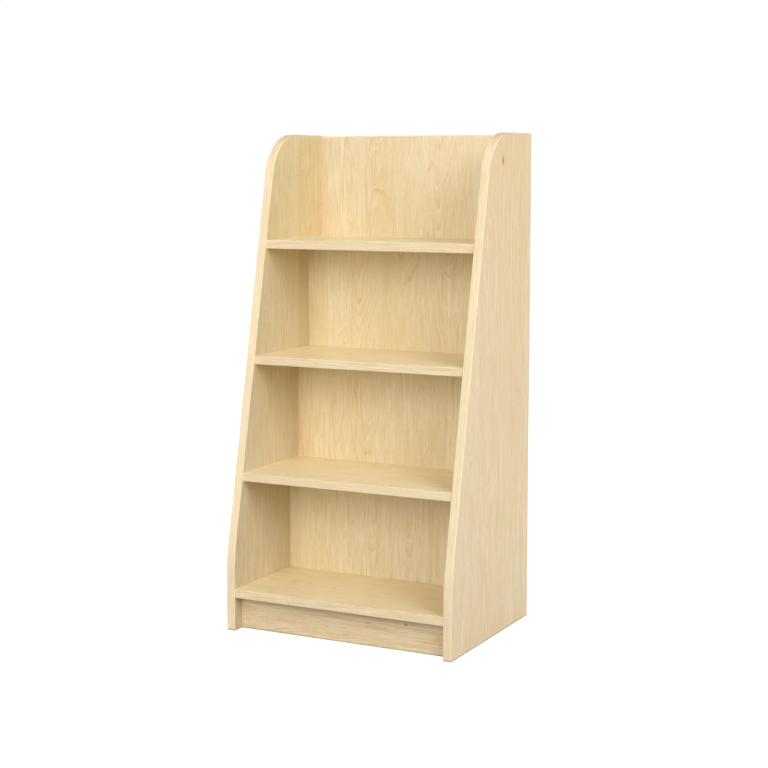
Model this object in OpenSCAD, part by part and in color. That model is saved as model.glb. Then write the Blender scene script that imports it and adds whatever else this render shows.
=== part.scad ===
// A low bookcase with four open bays between two shaped side boards.
// The front edge of each side board rises straight, leans back and ends in a large round.
// Each bay has its own back board, and every higher back board stands further to the rear.
// Width runs along X, depth along Y with the front at negative Y, and Z is up from the floor.

/* [Overall size] */

// Width over the outer faces of the two side boards
body_w = 500; // [400:1:800]

// Depth of the side boards at the floor, front band included
body_d = 378; // [360:1:460]

// Height of the side boards, top band included
body_h = 1000; // [900:1:1300]

/* [Boards] */

// Thickness of the side boards, the shelves and the toe board
board_t = 18; // [16:0.5:22]

// Thickness of the four back boards
back_t = 12; // [9:0.5:13]

/* [Side outline] */

// Height at which the leaning front line would meet the straight front line
lean_start_h = 146; // [110:1:190]

// Distance from the front at which the leaning line would meet the top line
lean_top_d = 180; // [150:1:200]

// Radius of the soft bend between the straight and the leaning front line
bend_r = 400; // [200:10:600]

// Radius of the large round between the leaning line and the top line
top_r = 100; // [60:1:110]

/* [Shelves and toe board] */

// Height of the toe board, which is also the underside of the lowest shelf
toe_h = 67; // [50:1:85]

// Distance from the front line of the sides back to the toe board
toe_in = 27; // [15:1:50]

// Distance from the side front line back to a shelf front, at the top of the shelf
shelf_in = 1.5; // [1:0.5:5]

// Clear depth of the three lower bays, from the shelf front to the back board
bay_d = 222.5; // [200:0.5:235]

// Distance from the rear line of the sides forward to the highest back board
back_in = 1.5; // [0.5:0.5:4]

/* [Edge bands] */

// Thickness of the solid edge bands
band_t = 2; // [1.5:0.1:3]

// Radius on the long outer corners of the edge bands
arris_r = 1.5; // [0.8:0.1:1.5]

/* [Joints] */

// Depth of the housings that hold the back boards in the sides
housing_d = 6; // [4:0.5:8]

// Clearance between a back board and each wall of its housing
housing_gap = 0.1; // [0.05:0.05:0.3]

// Clearance between the edge of a back board and the bottom of its housing
housing_end_gap = 0.3; // [0.1:0.1:0.5]

// Diameter of the wooden dowels
dowel_d = 8; // [6:0.5:10]

// Length of the wooden dowels
dowel_len = 30; // [25:1:35]

// Length of each dowel that sits in the face of a board
dowel_in_face = 11; // [8:0.5:12]

// Clearance all round a dowel in its hole
dowel_gap = 0.1; // [0.05:0.05:0.2]

// Clearance past each end of a dowel in its hole
dowel_end_gap = 0.5; // [0.3:0.1:1]

// Width of the chamfer on each dowel end
dowel_chamfer = 1; // [0.5:0.1:1.5]

// Distance from the front and rear edge of a shelf to its outer dowels
dowel_in = 40; // [30:1:60]

// Spacing of the upright dowels between the toe board and the lowest shelf
toe_dowel_pitch = 150; // [100:5:160]

/* [Hidden] */

// Sides of a drawn circle: small ones, and the large curves of the sides
$fn = 96;
large_fn = 360;

// The four levels, counted from the lowest shelf up
levels = [0, 1, 2, 3];
bottom_level = levels[0];
lower_level = levels[1];
middle_level = levels[2];
upper_level = levels[3];

// Room left past a face by the tools that cut through it
past = 1;

// Depth at which the leaning run of a side's band lies under the faces of its two bends
band_under = 0.02;

// Height of one bay, all four being equal
bay_h = (body_h - toe_h) / len(levels) - board_t;

// Distance from the middle of the bookcase to the inner face of a side
inner_x = body_w / 2 - board_t;

// Lean of the front line away from upright
lean = atan(lean_top_d / (body_h - lean_start_h));

// Directions in which the straight, the leaning and the top line face
front_facing = 180;
lean_facing = front_facing - lean;
top_facing = 90;

// Turn of the large round, from the leaning line to the top line
top_turn = lean_facing - top_facing;

// Centres of the soft bend and of the large round, as distance from the front and height
bend_at = [bend_r, lean_start_h - bend_r * tan(lean / 2)];
round_at = [lean_top_d + top_r * tan(top_turn / 2), body_h - top_r];

// Length of each dowel that sits in the end of a board
dowel_in_end = dowel_len - dowel_in_face;

core_colour = [0.90, 0.80, 0.65];
back_colour = [0.93, 0.83, 0.65];
band_colour = [0.97, 0.89, 0.74];
dowel_colour = [0.80, 0.66, 0.46];

// Underside, middle and top surface of a shelf above the floor
function shelf_under(level) = toe_h + level * (bay_h + board_t);
function shelf_middle(level) = shelf_under(level) + board_t / 2;
function shelf_top(level) = shelf_under(level) + board_t;

// Distance from the front at which the side's front line stands at one height
function side_front(height) = max(0, (height - lean_start_h) * tan(lean));

// Distance from the front to the front face of a shelf, band included
function shelf_front(level) = side_front(shelf_top(level)) + shelf_in;

// Distance from the front to the face of a back board
function back_face(level) = level < upper_level
    ? shelf_front(level) + bay_d
    : body_d - back_in - back_t;

// Distance from the front to the rear edge of a shelf, level with the rear of its back board
function shelf_rear(level) = back_face(level) + back_t;

// Distances from the front to the three dowels in each end of a shelf
function shelf_dowels(level) = [
    shelf_front(level) + dowel_in,
    (shelf_front(level) + shelf_rear(level)) / 2,
    shelf_rear(level) - dowel_in
];

// Heights of the two dowels in each end of the toe board
toe_dowel_heights = [toe_h / 4, toe_h * 3 / 4];

// Places along the width of the upright dowels between the toe board and the lowest shelf
toe_dowel_places = [-toe_dowel_pitch, 0, toe_dowel_pitch];

// Distance from the front to the middle of the toe board
toe_middle = toe_in + board_t / 2;

// Point on a circle, as distance from the front and height
function on_circle(centre, radius, facing) = centre + radius * [cos(facing), sin(facing)];

// Repeats a shape on the left side at the right side
module both_sides() {
    for (flip = [0, 1])
        mirror([flip, 0, 0])
            children();
}

// Puts a shape drawn as distance from the front and height into the bookcase
module side_frame() {
    translate([-body_w / 2, -body_d / 2, 0])
        rotate([90, 0, 90])
            children();
}

// Corner left outside a round that runs from one facing to a greater one
module corner_waste(centre, radius, from, to) {
    difference() {
        polygon([
            on_circle(centre, radius - past, from),
            on_circle(centre, (radius + past) / cos((to - from) / 2), from),
            on_circle(centre, (radius + past) / pow(cos((to - from) / 2), 2), (from + to) / 2),
            on_circle(centre, (radius + past) / cos((to - from) / 2), to),
            on_circle(centre, radius - past, to)
        ]);
        translate(centre)
            circle(radius, $fn = large_fn);
    }
}

// Outline of a side board, inside its band at the front and top
module side_outline() {
    lean_low = on_circle(bend_at, (bend_r - band_t) / cos(lean / 2), front_facing - lean / 2);
    lean_high = on_circle(round_at, (top_r - band_t) / cos(top_turn / 2), lean_facing - top_turn / 2);
    difference() {
        polygon([
            [band_t, 0],
            lean_low,
            lean_high,
            [body_d, body_h - band_t],
            [body_d, 0]
        ]);
        corner_waste(bend_at, bend_r - band_t, lean_facing, front_facing);
        corner_waste(round_at, top_r - band_t, top_facing, lean_facing);
    }
}

// Section of an edge band, flat on the board and rounded on its two outer corners
module band_section(width, under = 0) {
    intersection() {
        translate([under, under])
            square([band_t - 2 * under, width - 2 * under]);
        union() {
            square([band_t - arris_r, width]);
            translate([0, arris_r])
                square([band_t, width - 2 * arris_r]);
            for (at = [arris_r, width - arris_r])
                translate([band_t - arris_r, at])
                    circle(arris_r - under);
        }
    }
}

// Straight run of a side's band, from one point along a heading
module band_run(start, heading, run, under = 0) {
    translate(start)
        rotate(heading)
            rotate([90, 0, 90])
                linear_extrude(run)
                    band_section(board_t, under);
}

// Curved run of a side's band round the origin, turning on from one facing
module band_bend(radius, from, turn) {
    rotate_extrude(start = from, angle = turn, $fn = large_fn)
        translate([radius - band_t, 0])
            band_section(board_t);
}

// Band up the front of the left side, over its large round and along its top
module left_band() {
    lean_heading = lean_facing - 90;
    bend_end = on_circle(bend_at, bend_r - band_t, lean_facing);
    round_start = on_circle(round_at, top_r - band_t, lean_facing);
    round_end = on_circle(round_at, top_r - band_t, top_facing);
    side_frame() {
        band_run([band_t, 0], front_facing - 90, bend_at[1]);
        translate(bend_at)
            mirror([0, 1, 0])
                band_bend(bend_r, front_facing, lean);
        band_run(
            on_circle(bend_end, -past, lean_heading),
            lean_heading,
            norm(round_start - bend_end) + 2 * past,
            band_under
        );
        translate(round_at)
            band_bend(top_r, top_facing, top_turn);
        band_run(round_end, 0, body_d - round_end[0]);
    }
}

// Hole for the part of a dowel that enters the inner face of the left side
module left_face_hole(from_front, height) {
    depth = dowel_in_face + dowel_end_gap;
    translate([-inner_x - depth, from_front - body_d / 2, height])
        rotate([0, 90, 0])
            cylinder(h = depth + past, d = dowel_d + 2 * dowel_gap);
}

// Hole for the part of a dowel that enters the left end of a shelf or the toe board
module left_end_hole(from_front, height) {
    translate([-inner_x - past, from_front - body_d / 2, height])
        rotate([0, 90, 0])
            cylinder(h = dowel_in_end + dowel_end_gap + past, d = dowel_d + 2 * dowel_gap);
}

// Upright hole between the toe board and the lowest shelf
module toe_top_hole(at_x, below, above) {
    translate([at_x, toe_middle - body_d / 2, toe_h - below])
        cylinder(h = below + above, d = dowel_d + 2 * dowel_gap);
}

// Housing in the inner face of the left side for one back board
module back_housing(level) {
    front = back_face(level) - housing_gap;
    rear = level < upper_level ? shelf_rear(level) + housing_gap : body_d + past;
    height = level < upper_level ? bay_h : body_h - band_t - shelf_top(level) + past;
    translate([-inner_x - housing_d, front - body_d / 2, shelf_top(level)])
        cube([housing_d + past, rear - front, height]);
}

// Left side board with its housings and dowel holes
module left_side_board() {
    difference() {
        side_frame()
            linear_extrude(board_t)
                side_outline();
        for (level = levels) {
            back_housing(level);
            for (from_front = shelf_dowels(level))
                left_face_hole(from_front, shelf_middle(level));
        }
        for (height = toe_dowel_heights)
            left_face_hole(toe_middle, height);
    }
}

// Shelf board without its front band, drilled at both ends
module shelf_board(level) {
    front = shelf_front(level) + band_t;
    difference() {
        translate([-inner_x, front - body_d / 2, shelf_under(level)])
            cube([2 * inner_x, shelf_rear(level) - front, board_t]);
        both_sides()
            for (from_front = shelf_dowels(level))
                left_end_hole(from_front, shelf_middle(level));
    }
}

// Front band of one shelf
module shelf_band(level) {
    translate([-inner_x, shelf_front(level) + band_t - body_d / 2, shelf_under(level)])
        mirror([0, 1, 0])
            rotate([90, 0, 90])
                linear_extrude(2 * inner_x)
                    band_section(board_t);
}

// Back board of one bay, standing on its shelf with its ends in the two housings
module back_board(level, height) {
    reach = inner_x + housing_d - housing_end_gap;
    translate([-reach, back_face(level) - body_d / 2, shelf_top(level)])
        cube([2 * reach, back_t, height]);
}

// One dowel along Z, chamfered at both ends
module dowel() {
    middle_r = dowel_d / 2;
    end_r = middle_r - dowel_chamfer;
    rotate_extrude()
        polygon([
            [0, 0],
            [end_r, 0],
            [middle_r, dowel_chamfer],
            [middle_r, dowel_len - dowel_chamfer],
            [end_r, dowel_len],
            [0, dowel_len]
        ]);
}

// One dowel across the joint between the left side and a board end
module left_dowel(from_front, height) {
    translate([-inner_x - dowel_in_face, from_front - body_d / 2, height])
        rotate([0, 90, 0])
            dowel();
}

module left_side() {
    color(core_colour)
        left_side_board();
}

module right_side() {
    color(core_colour)
        mirror([1, 0, 0])
            left_side_board();
}

module left_side_band() {
    color(band_colour)
        left_band();
}

module right_side_band() {
    color(band_colour)
        mirror([1, 0, 0])
            left_band();
}

module bottom_shelf() {
    color(core_colour)
        difference() {
            shelf_board(bottom_level);
            for (at_x = toe_dowel_places)
                toe_top_hole(at_x, past, dowel_in_face + dowel_end_gap);
        }
}

module lower_shelf() {
    color(core_colour)
        shelf_board(lower_level);
}

module middle_shelf() {
    color(core_colour)
        shelf_board(middle_level);
}

module upper_shelf() {
    color(core_colour)
        shelf_board(upper_level);
}

module bottom_shelf_band() {
    color(band_colour)
        shelf_band(bottom_level);
}

module lower_shelf_band() {
    color(band_colour)
        shelf_band(lower_level);
}

module middle_shelf_band() {
    color(band_colour)
        shelf_band(middle_level);
}

module upper_shelf_band() {
    color(band_colour)
        shelf_band(upper_level);
}

module bottom_back() {
    color(back_colour)
        back_board(bottom_level, bay_h);
}

module lower_back() {
    color(back_colour)
        back_board(lower_level, bay_h);
}

module middle_back() {
    color(back_colour)
        back_board(middle_level, bay_h);
}

module upper_back() {
    color(back_colour)
        back_board(upper_level, body_h - 2 * band_t - shelf_top(upper_level));
}

// Band along the top of the highest back board, between the two sides
module upper_back_band() {
    color(band_colour)
        translate([-inner_x, back_face(upper_level) - body_d / 2, body_h - 2 * band_t])
            rotate([0, 90, 0])
                linear_extrude(2 * inner_x)
                    mirror([1, 0])
                        band_section(back_t);
}

module toe_board() {
    color(core_colour)
        difference() {
            translate([-inner_x, toe_in - body_d / 2, 0])
                cube([2 * inner_x, board_t, toe_h]);
            both_sides()
                for (height = toe_dowel_heights)
                    left_end_hole(toe_middle, height);
            for (at_x = toe_dowel_places)
                toe_top_hole(at_x, dowel_in_end + dowel_end_gap, past);
        }
}

module dowels() {
    color(dowel_colour) {
        both_sides() {
            for (level = levels)
                for (from_front = shelf_dowels(level))
                    left_dowel(from_front, shelf_middle(level));
            for (height = toe_dowel_heights)
                left_dowel(toe_middle, height);
        }
        for (at_x = toe_dowel_places)
            translate([at_x, toe_middle - body_d / 2, toe_h - dowel_in_end])
                dowel();
    }
}

left_side();
right_side();
left_side_band();
right_side_band();
bottom_shelf();
lower_shelf();
middle_shelf();
upper_shelf();
bottom_shelf_band();
lower_shelf_band();
middle_shelf_band();
upper_shelf_band();
bottom_back();
lower_back();
middle_back();
upper_back();
upper_back_band();
toe_board();
dowels();
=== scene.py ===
"""Looks of a low open bookcase: pale maple boards, edge bands, four fixed shelves, stepped backs.

Everything is in metres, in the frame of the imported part: X across the width, Y from the open
front to the rear, Z up from the floor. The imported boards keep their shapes. Here they get their
wood, and the scene gets its floor, its light and its camera.
"""

import math

import bpy
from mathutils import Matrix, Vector


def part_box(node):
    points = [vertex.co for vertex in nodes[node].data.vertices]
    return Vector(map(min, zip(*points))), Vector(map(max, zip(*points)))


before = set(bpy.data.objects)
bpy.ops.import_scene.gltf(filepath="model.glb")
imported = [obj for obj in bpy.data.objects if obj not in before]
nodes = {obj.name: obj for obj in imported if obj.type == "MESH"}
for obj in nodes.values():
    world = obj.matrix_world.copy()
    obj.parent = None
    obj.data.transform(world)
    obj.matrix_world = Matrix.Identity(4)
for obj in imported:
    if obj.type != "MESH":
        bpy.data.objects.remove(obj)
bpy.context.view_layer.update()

scene = bpy.context.scene


# Colours of the wood, as they would be read off a screen

SIDE_PALE = (229, 214, 182)
SIDE_HONEY = (214, 186, 134)
# The shelves' very pale tones are partly their own colour and partly painted light from above; the
# lowest shelf's darker pair is painted shade
SHELF_PALE = (255, 245, 211)
SHELF_HONEY = (252, 226, 170)
PAINTED_SHADE_LOW_SHELF_PALE = (250, 239, 204)
PAINTED_SHADE_LOW_SHELF_HONEY = (244, 216, 159)
BACK_PALE = (235, 222, 193)
BACK_HONEY = (219, 193, 142)
TOE_PALE = (240, 224, 193)
TOE_HONEY = (218, 186, 134)
BAND_PALE = (246, 228, 192)
BAND_HONEY = (234, 208, 164)
STRIP_PALE = (245, 228, 191)
STRIP_HONEY = (229, 199, 157)
TAN_LINE = (208, 164, 104)
WARM_LINE = (216, 164, 94)
PORE = (150, 108, 66)
KNOT = (178, 108, 24)
KNOT_RIM = (212, 158, 90)
STREAK = (142, 104, 66)
BEECH = (206, 160, 112)
BEECH_DARK = (180, 128, 82)


# Directions across, into and along the grain of a board, by the letters of their axes

UPRIGHT_SIDE = ("Y", "X", "Z")
UPRIGHT_BACK = ("X", "Y", "Z")
LEVEL_SHELF = ("Y", "Z", "X")
LEVEL_FRONT = ("Z", "Y", "X")
BAND_LEVEL = ("Z", "", "X")
BAND_UP = ("X", "", "YZ")


# Tints: an axis, the places on it where the tint starts and ends, and its two colours

PLAIN = (1.0, 1.0, 1.0)
# Painted shade on the inner faces of the sides and painted light on their outer faces
PAINTED_SHADE_INNER_FACE = (0.945, 0.972, 0.98)
PAINTED_LIGHT_OUTER_FACE = (1.06, 1.035, 1.02)
# A painted highlight along the outer arris of each side's band
PAINTED_HIGHLIGHT = (1.02, 1.05, 1.10)
LEFT_PAINTED_FACES = ("X", -0.244, -0.238, PAINTED_LIGHT_OUTER_FACE, PAINTED_SHADE_INNER_FACE)
RIGHT_PAINTED_FACES = ("X", 0.238, 0.244, PAINTED_SHADE_INNER_FACE, PAINTED_LIGHT_OUTER_FACE)
LEFT_PAINTED_HIGHLIGHT = ("X", -0.2484, -0.2464, PAINTED_HIGHLIGHT, PLAIN)
RIGHT_PAINTED_HIGHLIGHT = ("X", 0.2464, 0.2484, PLAIN, PAINTED_HIGHLIGHT)
# Painted light and shade on the left side: a little darker below 0.64 m, lighter and warmer above
# 0.88 m
PAINTED_LIGHT_TOP = ("Z", 0.64, 0.88, (0.965, 0.97, 0.985), (1.055, 1.03, 0.965))
COOL_FOOT = ("Z", 0.38, 0.58, (1.0, 1.005, 1.05), PLAIN)
HONEY_TOP = ("Z", 0.60, 0.86, PLAIN, (0.98, 0.965, 0.92))
# Painted shade on the upward-facing rounds at the tops of the side bands
PAINTED_SHADE_ROUND = ("Z", 0.974, 1.0, PLAIN, (0.88, 0.80, 0.72))
DARK_REAR = ("Y", 0.186, 0.189, PLAIN, (0.88, 0.82, 0.74))
# A painted contact shadow along the lowest 3.5 mm of the boards that stand on the floor
PAINTED_SHADOW_FOOT = ("Z", 0.0, 0.0035, (0.42, 0.36, 0.30), PLAIN)
# Painted light and shade on the toe board: lighter at its foot, darker up under the lowest shelf
PAINTED_LIGHT_TOE = ("Z", 0.008, 0.062, (1.06, 1.06, 1.06), (0.93, 0.93, 0.93))
SHELF_REAR = (0.80, 0.78, 0.76)
SHELF_REAR_DEPTH = 0.002

# Painted light and shade: how light each back board is painted at its left and at its right, and
# how light each side's band is painted all over
BACK_LEFT, BACK_RIGHT = -0.22, 0.22
PAINTED_BACK_LIGHT = {
    "bottom": (1.03, 0.96),
    "lower": (1.04, 0.975),
    "middle": (1.02, 1.0),
    "upper": (0.95, 1.035),
}
LEFT_BAND_PAINTED_LIGHT = 1.04
RIGHT_BAND_PAINTED_LIGHT = 0.985


# Knots: the middle, the reach along each axis, the strength and the colour

SIDE_KNOTS = (
    ((0.25, 0.042, 0.9468), (0.006, 0.0078, 0.0175), 0.6, KNOT_RIM),
    ((0.25, 0.043, 0.9435), (0.0043, 0.0043, 0.0092), 0.95, KNOT),
)
TOE_KNOTS = (
    ((0.141, -0.162, 0.0522), (0.0048, 0.003, 0.0024), 0.95, STREAK),
    ((0.0565, -0.162, 0.0455), (0.0085, 0.003, 0.0014), 0.6, STREAK),
    ((0.095, -0.162, 0.040), (0.006, 0.003, 0.0012), 0.5, STREAK),
    ((0.007, -0.162, 0.061), (0.006, 0.003, 0.003), 0.5, KNOT),
)


# The parts of the maple grain: how many there are in a metre, across the grain and along it

BENDS = (14.0, 4.0)
WAVERS = (60.0, 12.0)
BREAKS = (24.0, 8.0)
BUSY_PATCHES = (16.0, 4.0)
FIBRES = (330.0, 13.0)
FLAMES = (75.0, 20.0)
MOTTLES = (240.0, 90.0)
CLOUDS = (10.0, 3.0)
PORES = (700.0, 60.0)
GUM_STREAKS = (150.0, 10.0)
EYES = (9.0, 6.0)
KNOT_UNEVENNESS = (300.0, 120.0)

# How far bends, wavers and curls push the growth lines, in metres
BEND_PUSH = 0.016
WAVER_PUSH = 0.004
CURL_PUSH = 0.008

# How much each part darkens the wood between its pale and its deep colour, round a middle tone
CLOUD_TONE = 0.45
CURL_TONE = -0.2
MOTTLE_TONE = 0.5
GLINT_TONE = -0.35
FLAME_TONE = 0.5
FIBRE_TONE = 1.7
MIDDLE_TONE = 0.45
GUM_STRENGTH = 0.4
SEAM_STRENGTH = 0.45
PORE_STRENGTH = 0.2
LEAF_RANDOMNESS = 0.85

# How far apart in the log the boards and their leaves are cut
SEED_ACROSS = 7.31
SEED_INTO = 1.7
LEAF_ACROSS = 3.0
LEAF_ALONG = 5.0
NEAREST_HEART = 0.03
HEART_RANGE = 0.06

# The lacquer and the feel of the grain under it
MIDDLE_ROUGHNESS = 0.44
FIBRE_ROUGHNESS = 0.25
LINE_HEIGHT = -0.5
PORE_HEIGHT = -0.6
BUMP_STRENGTH = 0.25
BUMP_DEPTH = 0.0003
LACQUER_ROUGHNESS = 0.3

# Each board's own draw of veneer
LEFT_SIDE_SEED, RIGHT_SIDE_SEED = 1.0, 2.0
FIRST_SHELF_SEED = 3
BACK_SEED_STEP = 57.0
STRIP_SEED_STEP = 20.0
FIRST_BAND_SEED = 30
BACK_BAND_SEED = 33.0
TOE_SEED = 34.0
DOWEL_SEED = 35.0

# Sockets of Blender's colour mix node
MIX_FACTOR, MIX_FIRST, MIX_SECOND = 0, 6, 7
MIX_RESULT = 2


def shade(colour):
    """A screen colour as the light values that a shader takes."""
    linear = [
        part / 12.92 if part <= 0.04045 else ((part + 0.055) / 1.055) ** 2.4
        for part in (channel / 255 for channel in colour)
    ]
    return (*linear, 1.0)


# Building blocks for node trees


def add(tree, kind, inputs=None, **settings):
    """Adds a node, applies its settings, and gives each named input a value or a link."""
    made = tree.nodes.new(kind)
    for key, value in settings.items():
        setattr(made, key, value)
    for key, value in (inputs or {}).items():
        if isinstance(value, bpy.types.NodeSocket):
            tree.links.new(value, made.inputs[key])
        else:
            made.inputs[key].default_value = value
    return made


def calc(tree, operation, *values, clamp=False):
    """One step of arithmetic on sockets or numbers."""
    made = add(
        tree, "ShaderNodeMath", dict(enumerate(values)), operation=operation, use_clamp=clamp
    )
    return made.outputs[0]


def spread(tree, value, low, high, to_low=0.0, to_high=1.0):
    """A value taken from one range to another, with soft ends."""
    return add(
        tree,
        "ShaderNodeMapRange",
        {"Value": value, "From Min": low, "From Max": high, "To Min": to_low, "To Max": to_high},
        interpolation_type="SMOOTHSTEP",
    ).outputs["Result"]


def blend(tree, factor, first, second, mode="MIX"):
    """One colour laid over another by a factor."""
    inputs = {MIX_FACTOR: factor, MIX_FIRST: first, MIX_SECOND: second}
    made = add(tree, "ShaderNodeMix", inputs, data_type="RGBA", blend_type=mode)
    return made.outputs[MIX_RESULT]


def scaled(tree, place, across, into, along):
    """A place in the wood, with its three directions stretched."""
    return add(
        tree,
        "ShaderNodeVectorMath",
        {0: place, 1: (across, into, along)},
        operation="MULTIPLY",
    ).outputs[0]


def streaks(tree, place, grains, detail=1.0, roughness=0.5):
    """Noise drawn out along the grain. Grains are how many a metre holds, across and along."""
    across, along = grains
    return add(
        tree,
        "ShaderNodeTexNoise",
        {
            "Vector": scaled(tree, place, across, across, along),
            "Scale": 1.0,
            "Detail": detail,
            "Roughness": roughness,
        },
    ).outputs["Fac"]


def swing(tree, place, grains, detail=1.0, roughness=0.5):
    """Streaks that swing to both sides of nothing."""
    return calc(tree, "SUBTRACT", streaks(tree, place, grains, detail, roughness), 0.5)


def new_group(name, inputs, outputs):
    """An empty node group with named sockets, and its two end nodes."""
    tree = bpy.data.node_groups.new(name, "ShaderNodeTree")
    for label, kind, value in inputs:
        socket = tree.interface.new_socket(name=label, in_out="INPUT", socket_type=kind)
        if value is not None:
            socket.default_value = value
    for label, kind in outputs:
        tree.interface.new_socket(name=label, in_out="OUTPUT", socket_type=kind)
    return tree, tree.nodes.new("NodeGroupInput"), tree.nodes.new("NodeGroupOutput")


def leaf_cells(tree, leaf_place, feature="F1"):
    """Leaves of veneer side by side, of uneven widths."""
    return add(
        tree,
        "ShaderNodeTexVoronoi",
        {"W": leaf_place, "Scale": 1.0, "Randomness": LEAF_RANDOMNESS},
        voronoi_dimensions="1D",
        feature=feature,
    ).outputs


def maple_group():
    """Sliced maple: leaves of veneer side by side, arched growth lines, fibres, clouds and pores.

    The vector has X across the grain, Y into the board and Z along the grain.
    """
    tree, start, end = new_group(
        "maple grain",
        [
            ("Vector", "NodeSocketVector", None),
            ("Seed", "NodeSocketFloat", 0.0),
            ("Leaf Width", "NodeSocketFloat", 0.11),
            ("Leaf Contrast", "NodeSocketFloat", 0.2),
            ("Ring Spacing", "NodeSocketFloat", 0.0024),
            ("Taper", "NodeSocketFloat", 0.05),
            ("Line Strength", "NodeSocketFloat", 0.6),
            ("Fibre Strength", "NodeSocketFloat", 1.0),
            ("Flame Strength", "NodeSocketFloat", 1.0),
            ("Pale", "NodeSocketColor", shade(SIDE_PALE)),
            ("Deep", "NodeSocketColor", shade(SIDE_HONEY)),
            ("Line", "NodeSocketColor", shade(TAN_LINE)),
        ],
        [
            ("Color", "NodeSocketColor"),
            ("Roughness", "NodeSocketFloat"),
            ("Height", "NodeSocketFloat"),
        ],
    )
    given = start.outputs
    across, into, along = add(tree, "ShaderNodeSeparateXYZ", {0: given["Vector"]}).outputs

    # Each leaf is cut from another place in the log, with the middle of its arches somewhere in it
    leaf_place = calc(tree, "DIVIDE", across, given["Leaf Width"])
    leaf_place = calc(tree, "MULTIPLY_ADD", given["Seed"], SEED_ACROSS, leaf_place)
    leaf = leaf_cells(tree, leaf_place)
    draw = add(tree, "ShaderNodeSeparateColor", {0: leaf["Color"]}).outputs
    from_middle = calc(tree, "SUBTRACT", leaf_place, leaf["W"])
    from_middle = calc(tree, "MULTIPLY", from_middle, given["Leaf Width"])
    place = add(
        tree,
        "ShaderNodeCombineXYZ",
        {
            0: calc(tree, "MULTIPLY_ADD", draw[0], LEAF_ACROSS, across),
            1: calc(tree, "MULTIPLY_ADD", given["Seed"], SEED_INTO, into),
            2: calc(tree, "MULTIPLY_ADD", draw[1], LEAF_ALONG, along),
        },
    ).outputs[0]

    # Growth rings round the heart of the log, 30 to 90 mm behind the cut. The log narrows upward,
    # so that the cut shows its rings as arches, which point up in some leaves and down in others.
    to_heart = calc(tree, "MULTIPLY_ADD", draw[2], HEART_RANGE, NEAREST_HEART)
    to_heart_squared = calc(tree, "MULTIPLY", to_heart, to_heart)
    ring_place = calc(tree, "MULTIPLY_ADD", from_middle, from_middle, to_heart_squared)
    ring_place = calc(tree, "SQRT", ring_place)
    rise = calc(tree, "MULTIPLY", calc(tree, "SUBTRACT", draw[0], 0.5), given["Taper"])
    rise = calc(tree, "MULTIPLY_ADD", calc(tree, "SIGN", rise), given["Taper"], rise)
    ring_place = calc(tree, "MULTIPLY_ADD", along, rise, ring_place)
    ring_place = calc(tree, "MULTIPLY_ADD", swing(tree, place, BENDS), BEND_PUSH, ring_place)
    waver = swing(tree, place, WAVERS, detail=2.0)
    ring_place = calc(tree, "MULTIPLY_ADD", waver, WAVER_PUSH, ring_place)

    # Here and there the rings curl round a small eye
    eye_across, eye_along = EYES
    eye = add(
        tree,
        "ShaderNodeTexVoronoi",
        {
            "Vector": scaled(tree, place, eye_across, eye_across, eye_along),
            "Scale": 1.0,
            "Randomness": 1.0,
        },
    ).outputs["Distance"]
    curl = spread(tree, eye, 0.02, 0.24, 1.0, 0.0)
    ring_place = calc(tree, "MULTIPLY_ADD", curl, CURL_PUSH, ring_place)

    # A ring grows darker towards its late wood, ends in a sharp edge, and starts again pale
    growth = calc(tree, "DIVIDE", ring_place, given["Ring Spacing"])
    ring = calc(tree, "FRACT", growth)
    late = spread(tree, ring, 0.45, 0.9)
    early = spread(tree, ring, 0.0, 0.3, 1.0, 0.0)
    edge = spread(tree, ring, 0.93, 1.0, 1.0, 0.0)
    strength = add(
        tree,
        "ShaderNodeTexWhiteNoise",
        {"W": calc(tree, "FLOOR", growth)},
        noise_dimensions="1D",
    ).outputs["Value"]
    broken = spread(tree, streaks(tree, place, BREAKS, detail=3.0), 0.40, 0.64, 0.05, 1.0)
    strength = calc(tree, "MULTIPLY", strength, broken)
    line = calc(tree, "MULTIPLY", calc(tree, "MULTIPLY", late, edge), strength)
    glint = calc(tree, "MULTIPLY", early, strength)

    # Fine detail: fibres in busy and calm patches, short flames, small mottles, clouds and pores
    busy = spread(tree, streaks(tree, place, BUSY_PATCHES, detail=2.0), 0.38, 0.62, 0.3, 1.4)
    fibre = calc(tree, "MULTIPLY", swing(tree, place, FIBRES, detail=2.0, roughness=0.7), busy)
    flame = swing(tree, place, FLAMES, detail=3.0, roughness=0.6)
    mottle = swing(tree, place, MOTTLES, detail=2.0)
    cloud = swing(tree, place, CLOUDS, detail=2.0)
    pore = spread(tree, streaks(tree, place, PORES), 0.68, 0.80)
    gum = spread(tree, streaks(tree, place, GUM_STREAKS, detail=2.0), 0.60, 0.72)

    # From pale to deep
    tone = calc(tree, "MULTIPLY", calc(tree, "SUBTRACT", draw[2], 0.5), given["Leaf Contrast"])
    for part, weight in (
        (cloud, CLOUD_TONE),
        (curl, CURL_TONE),
        (mottle, MOTTLE_TONE),
        (glint, GLINT_TONE),
        (calc(tree, "MULTIPLY", flame, given["Flame Strength"]), FLAME_TONE),
        (calc(tree, "MULTIPLY", fibre, given["Fibre Strength"]), FIBRE_TONE),
    ):
        tone = calc(tree, "MULTIPLY_ADD", part, weight, tone)
    tone = calc(tree, "ADD", tone, MIDDLE_TONE, clamp=True)
    colour = blend(tree, tone, given["Pale"], given["Deep"])

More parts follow.
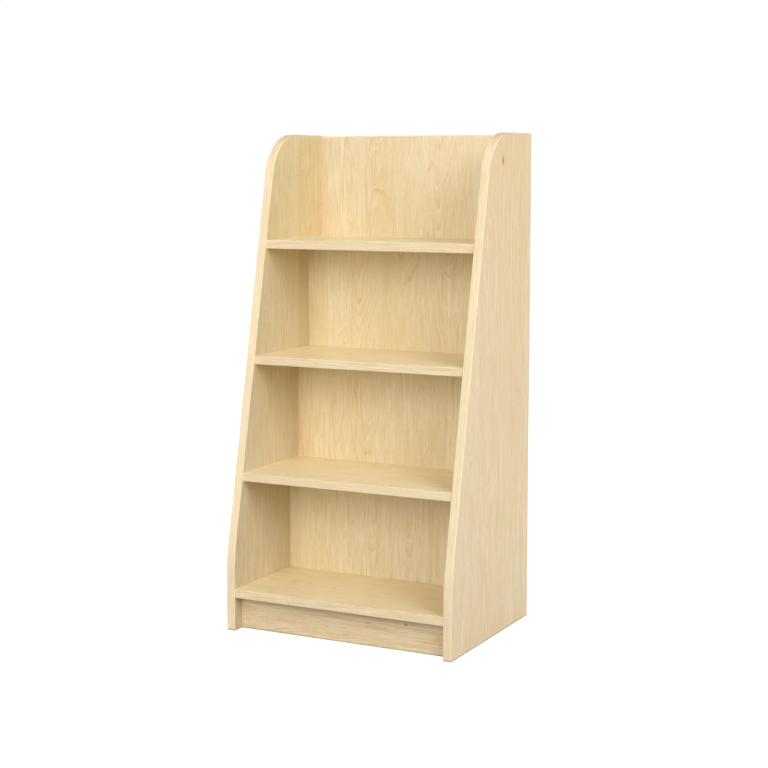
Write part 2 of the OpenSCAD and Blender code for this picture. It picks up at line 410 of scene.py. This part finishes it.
    # Growth lines, gum streaks, the seams between the leaves, and pores
    to_seam = leaf_cells(tree, leaf_place, feature="DISTANCE_TO_EDGE")["Distance"]
    seam = spread(tree, to_seam, 0.002, 0.009, SEAM_STRENGTH, 0.0)
    dark = calc(tree, "MAXIMUM", line, calc(tree, "MULTIPLY", gum, GUM_STRENGTH))
    dark = calc(tree, "MAXIMUM", dark, seam)
    dark = calc(tree, "MULTIPLY", dark, given["Line Strength"])
    colour = blend(tree, dark, colour, given["Line"])
    colour = blend(tree, calc(tree, "MULTIPLY", pore, PORE_STRENGTH), colour, shade(PORE))

    rough = calc(tree, "MULTIPLY_ADD", fibre, FIBRE_ROUGHNESS, MIDDLE_ROUGHNESS)
    height = calc(tree, "MULTIPLY_ADD", line, LINE_HEIGHT, fibre)
    height = calc(tree, "MULTIPLY_ADD", pore, PORE_HEIGHT, height)
    for label, value in (("Color", colour), ("Roughness", rough), ("Height", height)):
        tree.links.new(value, end.inputs[label])
    return tree


def knot_group():
    """A small dark knot: full at its middle, gone at its edge, and uneven in between."""
    tree, start, end = new_group(
        "pin knot",
        [
            ("Vector", "NodeSocketVector", None),
            ("Middle", "NodeSocketVector", (0.0, 0.0, 0.0)),
            ("Reach", "NodeSocketVector", (0.01, 0.01, 0.01)),
        ],
        [("Mask", "NodeSocketFloat")],
    )
    given = start.outputs
    away = given["Vector"]
    for operation, other in (("SUBTRACT", given["Middle"]), ("DIVIDE", given["Reach"])):
        away = add(
            tree, "ShaderNodeVectorMath", {0: away, 1: other}, operation=operation
        ).outputs[0]
    length = add(tree, "ShaderNodeVectorMath", {0: away}, operation="LENGTH").outputs["Value"]
    uneven = swing(tree, given["Vector"], KNOT_UNEVENNESS, detail=2.0)
    length = calc(tree, "MULTIPLY_ADD", uneven, 0.9, length)
    tree.links.new(spread(tree, length, 0.35, 1.0, 1.0, 0.0), end.inputs["Mask"])
    return tree


MAPLE = maple_group()
PIN_KNOT = knot_group()


def grain_vector(tree, place, across, into, along):
    """Object coordinates put in the order that the maple grain reads.

    Each direction is one axis or the sum of several, by their letters. A strip that bends from
    upright to level has its grain along Y and Z together, which only ever grows from foot to end.
    """
    apart = add(tree, "ShaderNodeSeparateXYZ", {0: place}).outputs
    joined = add(tree, "ShaderNodeCombineXYZ")
    for slot, letters in enumerate((across, into, along)):
        total = 0.0
        for letter in letters:
            total = calc(tree, "ADD", apart[letter], total)
        if letters:
            tree.links.new(total, joined.inputs[slot])
    return joined.outputs[0]


def even_tint(level):
    """A tint that is the same all over a board."""
    return ("Z", 0.0, 1.0, 3 * (level,), 3 * (level,))


def wood(name, axes, seed, knots=(), tints=(), gloss=0.12, shine=0.25, **grain):
    """A lacquered maple material. Gloss is the weight of the lacquer, shine the wood's own.

    The other named values are those of the maple grain. Colours among them are screen colours.
    """
    material = bpy.data.materials.new(name)
    material.use_nodes = True
    tree = material.node_tree
    shader = tree.nodes["Principled BSDF"]
    place = add(tree, "ShaderNodeTexCoord").outputs["Object"]
    maple = add(tree, "ShaderNodeGroup", node_tree=MAPLE)
    tree.links.new(grain_vector(tree, place, *axes), maple.inputs["Vector"])
    maple.inputs["Seed"].default_value = seed
    for label, value in grain.items():
        value = shade(value) if isinstance(value, tuple) else value
        maple.inputs[label.replace("_", " ").title()].default_value = value
    colour = maple.outputs["Color"]
    for axis, start, end, first, second in tints:
        distance = add(tree, "ShaderNodeSeparateXYZ", {0: place}).outputs[axis]
        turning = blend(tree, spread(tree, distance, start, end), (*first, 1.0), (*second, 1.0))
        colour = blend(tree, 1.0, colour, turning, mode="MULTIPLY")
    for middle, reach, strength, knot_colour in knots:
        spot = add(
            tree,
            "ShaderNodeGroup",
            {"Vector": place, "Middle": middle, "Reach": reach},
            node_tree=PIN_KNOT,
        )
        mask = calc(tree, "MULTIPLY", spot.outputs["Mask"], strength)
        colour = blend(tree, mask, colour, shade(knot_colour))
    bump = add(
        tree,
        "ShaderNodeBump",
        {"Height": maple.outputs["Height"], "Strength": BUMP_STRENGTH, "Distance": BUMP_DEPTH},
    )
    tree.links.new(colour, shader.inputs["Base Color"])
    tree.links.new(maple.outputs["Roughness"], shader.inputs["Roughness"])
    tree.links.new(bump.outputs["Normal"], shader.inputs["Normal"])
    shader.inputs["Specular IOR Level"].default_value = shine
    shader.inputs["Coat Weight"].default_value = gloss
    shader.inputs["Coat Roughness"].default_value = LACQUER_ROUGHNESS
    return material


def dress(node, material):
    """Gives a packed board its material."""
    nodes[node].data.materials.clear()
    nodes[node].data.materials.append(material)


# Side boards, each darker along its rear edge, with a painted shadow where it meets the floor,
# painted shade on its inner face and painted light on its outer face. The left side is also
# painted lighter in its top bay

for side, seed, tints, knots in (
    ("left", LEFT_SIDE_SEED, (LEFT_PAINTED_FACES, PAINTED_SHADOW_FOOT, DARK_REAR, PAINTED_LIGHT_TOP, COOL_FOOT), ()),
    ("right", RIGHT_SIDE_SEED, (RIGHT_PAINTED_FACES, PAINTED_SHADOW_FOOT, DARK_REAR, HONEY_TOP), SIDE_KNOTS),
):
    dress(
        side + "_side",
        wood(
            "maple, %s side" % side,
            UPRIGHT_SIDE,
            seed,
            knots=knots,
            tints=tints,
            leaf_width=0.11,
            line_strength=0.42,
        ),
    )

# Shelves, the backs that stand on them, and the shelves' front bands

for seed, level in enumerate(("bottom", "lower", "middle", "upper"), FIRST_SHELF_SEED):
    lowest = level == "bottom"
    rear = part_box(level + "_shelf")[1][1]
    # Painted light and shade across the back, from its left to its right
    left, right = PAINTED_BACK_LIGHT[level]
    dress(
        level + "_shelf",
        wood(
            "maple, %s shelf" % level,
            LEVEL_SHELF,
            seed,
            tints=(("Y", rear - SHELF_REAR_DEPTH, rear, PLAIN, SHELF_REAR),),
            gloss=0.4,
            leaf_width=0.12,
            # The lowest shelf's darker tones are painted shade
            pale=PAINTED_SHADE_LOW_SHELF_PALE if lowest else SHELF_PALE,
            deep=PAINTED_SHADE_LOW_SHELF_HONEY if lowest else SHELF_HONEY,
        ),
    )
    dress(
        level + "_back",
        wood(
            "maple, %s back" % level,
            UPRIGHT_BACK,
            seed + BACK_SEED_STEP,
            tints=(("X", BACK_LEFT, BACK_RIGHT, 3 * (left,), 3 * (right,)),),
            leaf_width=0.09,
            line_strength=0.5,
            pale=BACK_PALE,
            deep=BACK_HONEY,
            line=WARM_LINE,
        ),
    )
    dress(
        level + "_shelf_band",
        wood(
            "maple band, %s shelf" % level,
            BAND_LEVEL,
            seed + STRIP_SEED_STEP,
            gloss=0.0,
            shine=0.05,
            leaf_width=0.3,
            taper=0.004,
            line_strength=0.45,
            fibre_strength=1.3,
            pale=STRIP_PALE,
            deep=STRIP_HONEY,
        ),
    )

# Bands of the sides and of the highest back, the toe board, and the hidden dowels

# Each side's band: painted shade on its round top, a painted shadow at its foot, a painted
# highlight along its outer arris, and an even painted lightness
for seed, (side, level, arris) in enumerate(
    (("left", LEFT_BAND_PAINTED_LIGHT, LEFT_PAINTED_HIGHLIGHT), ("right", RIGHT_BAND_PAINTED_LIGHT, RIGHT_PAINTED_HIGHLIGHT)),
    FIRST_BAND_SEED,
):
    dress(
        side + "_side_band",
        wood(
            "maple band, %s side" % side,
            BAND_UP,
            seed,
            tints=(PAINTED_SHADE_ROUND, PAINTED_SHADOW_FOOT, arris, even_tint(level)),
            gloss=0.0,
            shine=0.0,
            leaf_width=0.3,
            taper=0.004,
            line_strength=0.4,
            fibre_strength=1.3,
            pale=BAND_PALE,
            deep=BAND_HONEY,
        ),
    )
dress(
    "upper_back_band",
    wood(
        "maple band, back",
        LEVEL_FRONT,
        BACK_BAND_SEED,
        gloss=0.0,
        shine=0.0,
        leaf_width=0.3,
        pale=BAND_PALE,
        deep=BAND_HONEY,
    ),
)
# The toe board, with a painted shadow at the floor and painted shade under the lowest shelf
dress(
    "toe_board",
    wood(
        "maple, toe board",
        LEVEL_FRONT,
        TOE_SEED,
        knots=TOE_KNOTS,
        tints=(PAINTED_SHADOW_FOOT, PAINTED_LIGHT_TOE),
        leaf_width=0.2,
        ring_spacing=0.0032,
        line_strength=0.85,
        fibre_strength=0.9,
        flame_strength=2.0,
        pale=TOE_PALE,
        deep=TOE_HONEY,
    ),
)
dress(
    "dowels", wood("beech dowels", UPRIGHT_BACK, DOWEL_SEED, pale=BEECH, deep=BEECH_DARK)
)


# Floor, background and light

MIDDLE = Vector((0.0, 0.0, 0.5))
WHITE = (1.0, 1.0, 1.0, 1.0)
FLOOR_SIZE = 60
FLOOR_GLOW = 0.86
GLOW_START, GLOW_END = 0.5, 1.4
FLOOR_SHADOW = 0.3
FLOOR_BOUNCE = 0.3
ROOM_LIGHT = 0.07

# Name, azimuth, elevation, watts, size, distance. Azimuth 0 is the open front, 90 the right side
SOFTBOXES = (
    ("wide front softbox", 0, 20, 129, 3.0, 6.0),
    ("high right front softbox", 60, 35, 127, 3.0, 6.0),
    ("right front softbox", 60, 20, 78, 3.0, 6.0),
    ("right softbox", 100, 15, 37, 3.0, 6.0),
    ("low right rear softbox", 120, 12, 22, 1.6, 3.2),
    ("left softbox", -60, 30, 17.5, 1.6, 3.2),
    ("low front softbox", 0, 12, 15.5, 1.6, 3.2),
    ("small right front softbox", 45, 22, 7.6, 0.8, 3.2),
    ("rear softbox", 215, 35, 85, 1.6, 3.2),
)


def grey(level):
    """A neutral colour."""
    return (level, level, level, 1.0)


def seen_directly(tree):
    """1 for rays from the camera and for reflections and see-through rays, 0 for the rest."""
    ray = add(tree, "ShaderNodeLightPath").outputs
    either = calc(tree, "MAXIMUM", ray["Is Camera Ray"], ray["Is Glossy Ray"])
    return calc(tree, "MAXIMUM", either, ray["Is Transmission Ray"])


def floor():
    """A plain pale floor, white to the camera but for the soft shadow under the bookcase."""
    bpy.ops.mesh.primitive_plane_add(size=FLOOR_SIZE)
    plane = bpy.context.object
    plane.name = "floor"
    material = bpy.data.materials.new("white floor")
    material.use_nodes = True
    tree = material.node_tree
    tree.nodes.clear()
    place = add(tree, "ShaderNodeTexCoord").outputs["Object"]
    away = add(tree, "ShaderNodeVectorMath", {0: place}, operation="LENGTH").outputs["Value"]
    glow = spread(tree, away, GLOW_START, GLOW_END, FLOOR_GLOW, 1.0)
    lit = add(tree, "ShaderNodeBsdfDiffuse", {"Color": grey(FLOOR_SHADOW)}).outputs[0]
    white = add(tree, "ShaderNodeEmission", {"Color": WHITE, "Strength": glow}).outputs[0]
    shown = add(tree, "ShaderNodeAddShader", {0: lit, 1: white}).outputs[0]
    bounce = add(tree, "ShaderNodeBsdfDiffuse", {"Color": grey(FLOOR_BOUNCE)}).outputs[0]
    mixed = add(tree, "ShaderNodeMixShader", {0: seen_directly(tree), 1: bounce, 2: shown})
    add(tree, "ShaderNodeOutputMaterial", {"Surface": mixed.outputs[0]})
    plane.data.materials.append(material)


def surroundings():
    """Even light from all round, in front of which the camera sees plain white."""
    world = bpy.data.worlds.new("white room")
    scene.world = world
    world.use_nodes = True
    tree = world.node_tree
    background = tree.nodes["Background"]
    background.inputs["Color"].default_value = WHITE
    level = add(
        tree,
        "ShaderNodeMapRange",
        {"Value": seen_directly(tree), "To Min": ROOM_LIGHT, "To Max": 1.0},
    ).outputs["Result"]
    tree.links.new(level, background.inputs["Strength"])


def softbox(name, azimuth, elevation, watts, size, distance):
    """A square lamp that faces the middle of the bookcase."""
    data = bpy.data.lights.new(name, "AREA")
    data.energy = watts
    data.size = size
    lamp = bpy.data.objects.new(name, data)
    scene.collection.objects.link(lamp)
    turn, lift = math.radians(azimuth), math.radians(elevation)
    toward = Vector(
        (math.sin(turn) * math.cos(lift), -math.cos(turn) * math.cos(lift), math.sin(lift))
    )
    lamp.location = MIDDLE + toward * distance
    lamp.rotation_euler = toward.to_track_quat("Z", "Y").to_euler()
    lamp.visible_camera = False


floor()
surroundings()
for lamp_values in SOFTBOXES:
    softbox(*lamp_values)


# Camera, at the place from which the photograph's edges line up

CAMERA_PLACE = (1.5233, -2.96955, 0.92788)
CAMERA_TILT, CAMERA_TURN = 83.671, 26.994
LENS, SENSOR = 77.73, 36.0
SHIFT = -0.04

camera_data = bpy.data.cameras.new("camera")
camera = bpy.data.objects.new("camera", camera_data)
scene.collection.objects.link(camera)
scene.camera = camera
camera_data.sensor_width = SENSOR
camera_data.lens = LENS
camera_data.shift_y = SHIFT
camera.location = CAMERA_PLACE
camera.rotation_euler = (math.radians(CAMERA_TILT), 0.0, math.radians(CAMERA_TURN))

scene.view_settings.view_transform = "Standard"
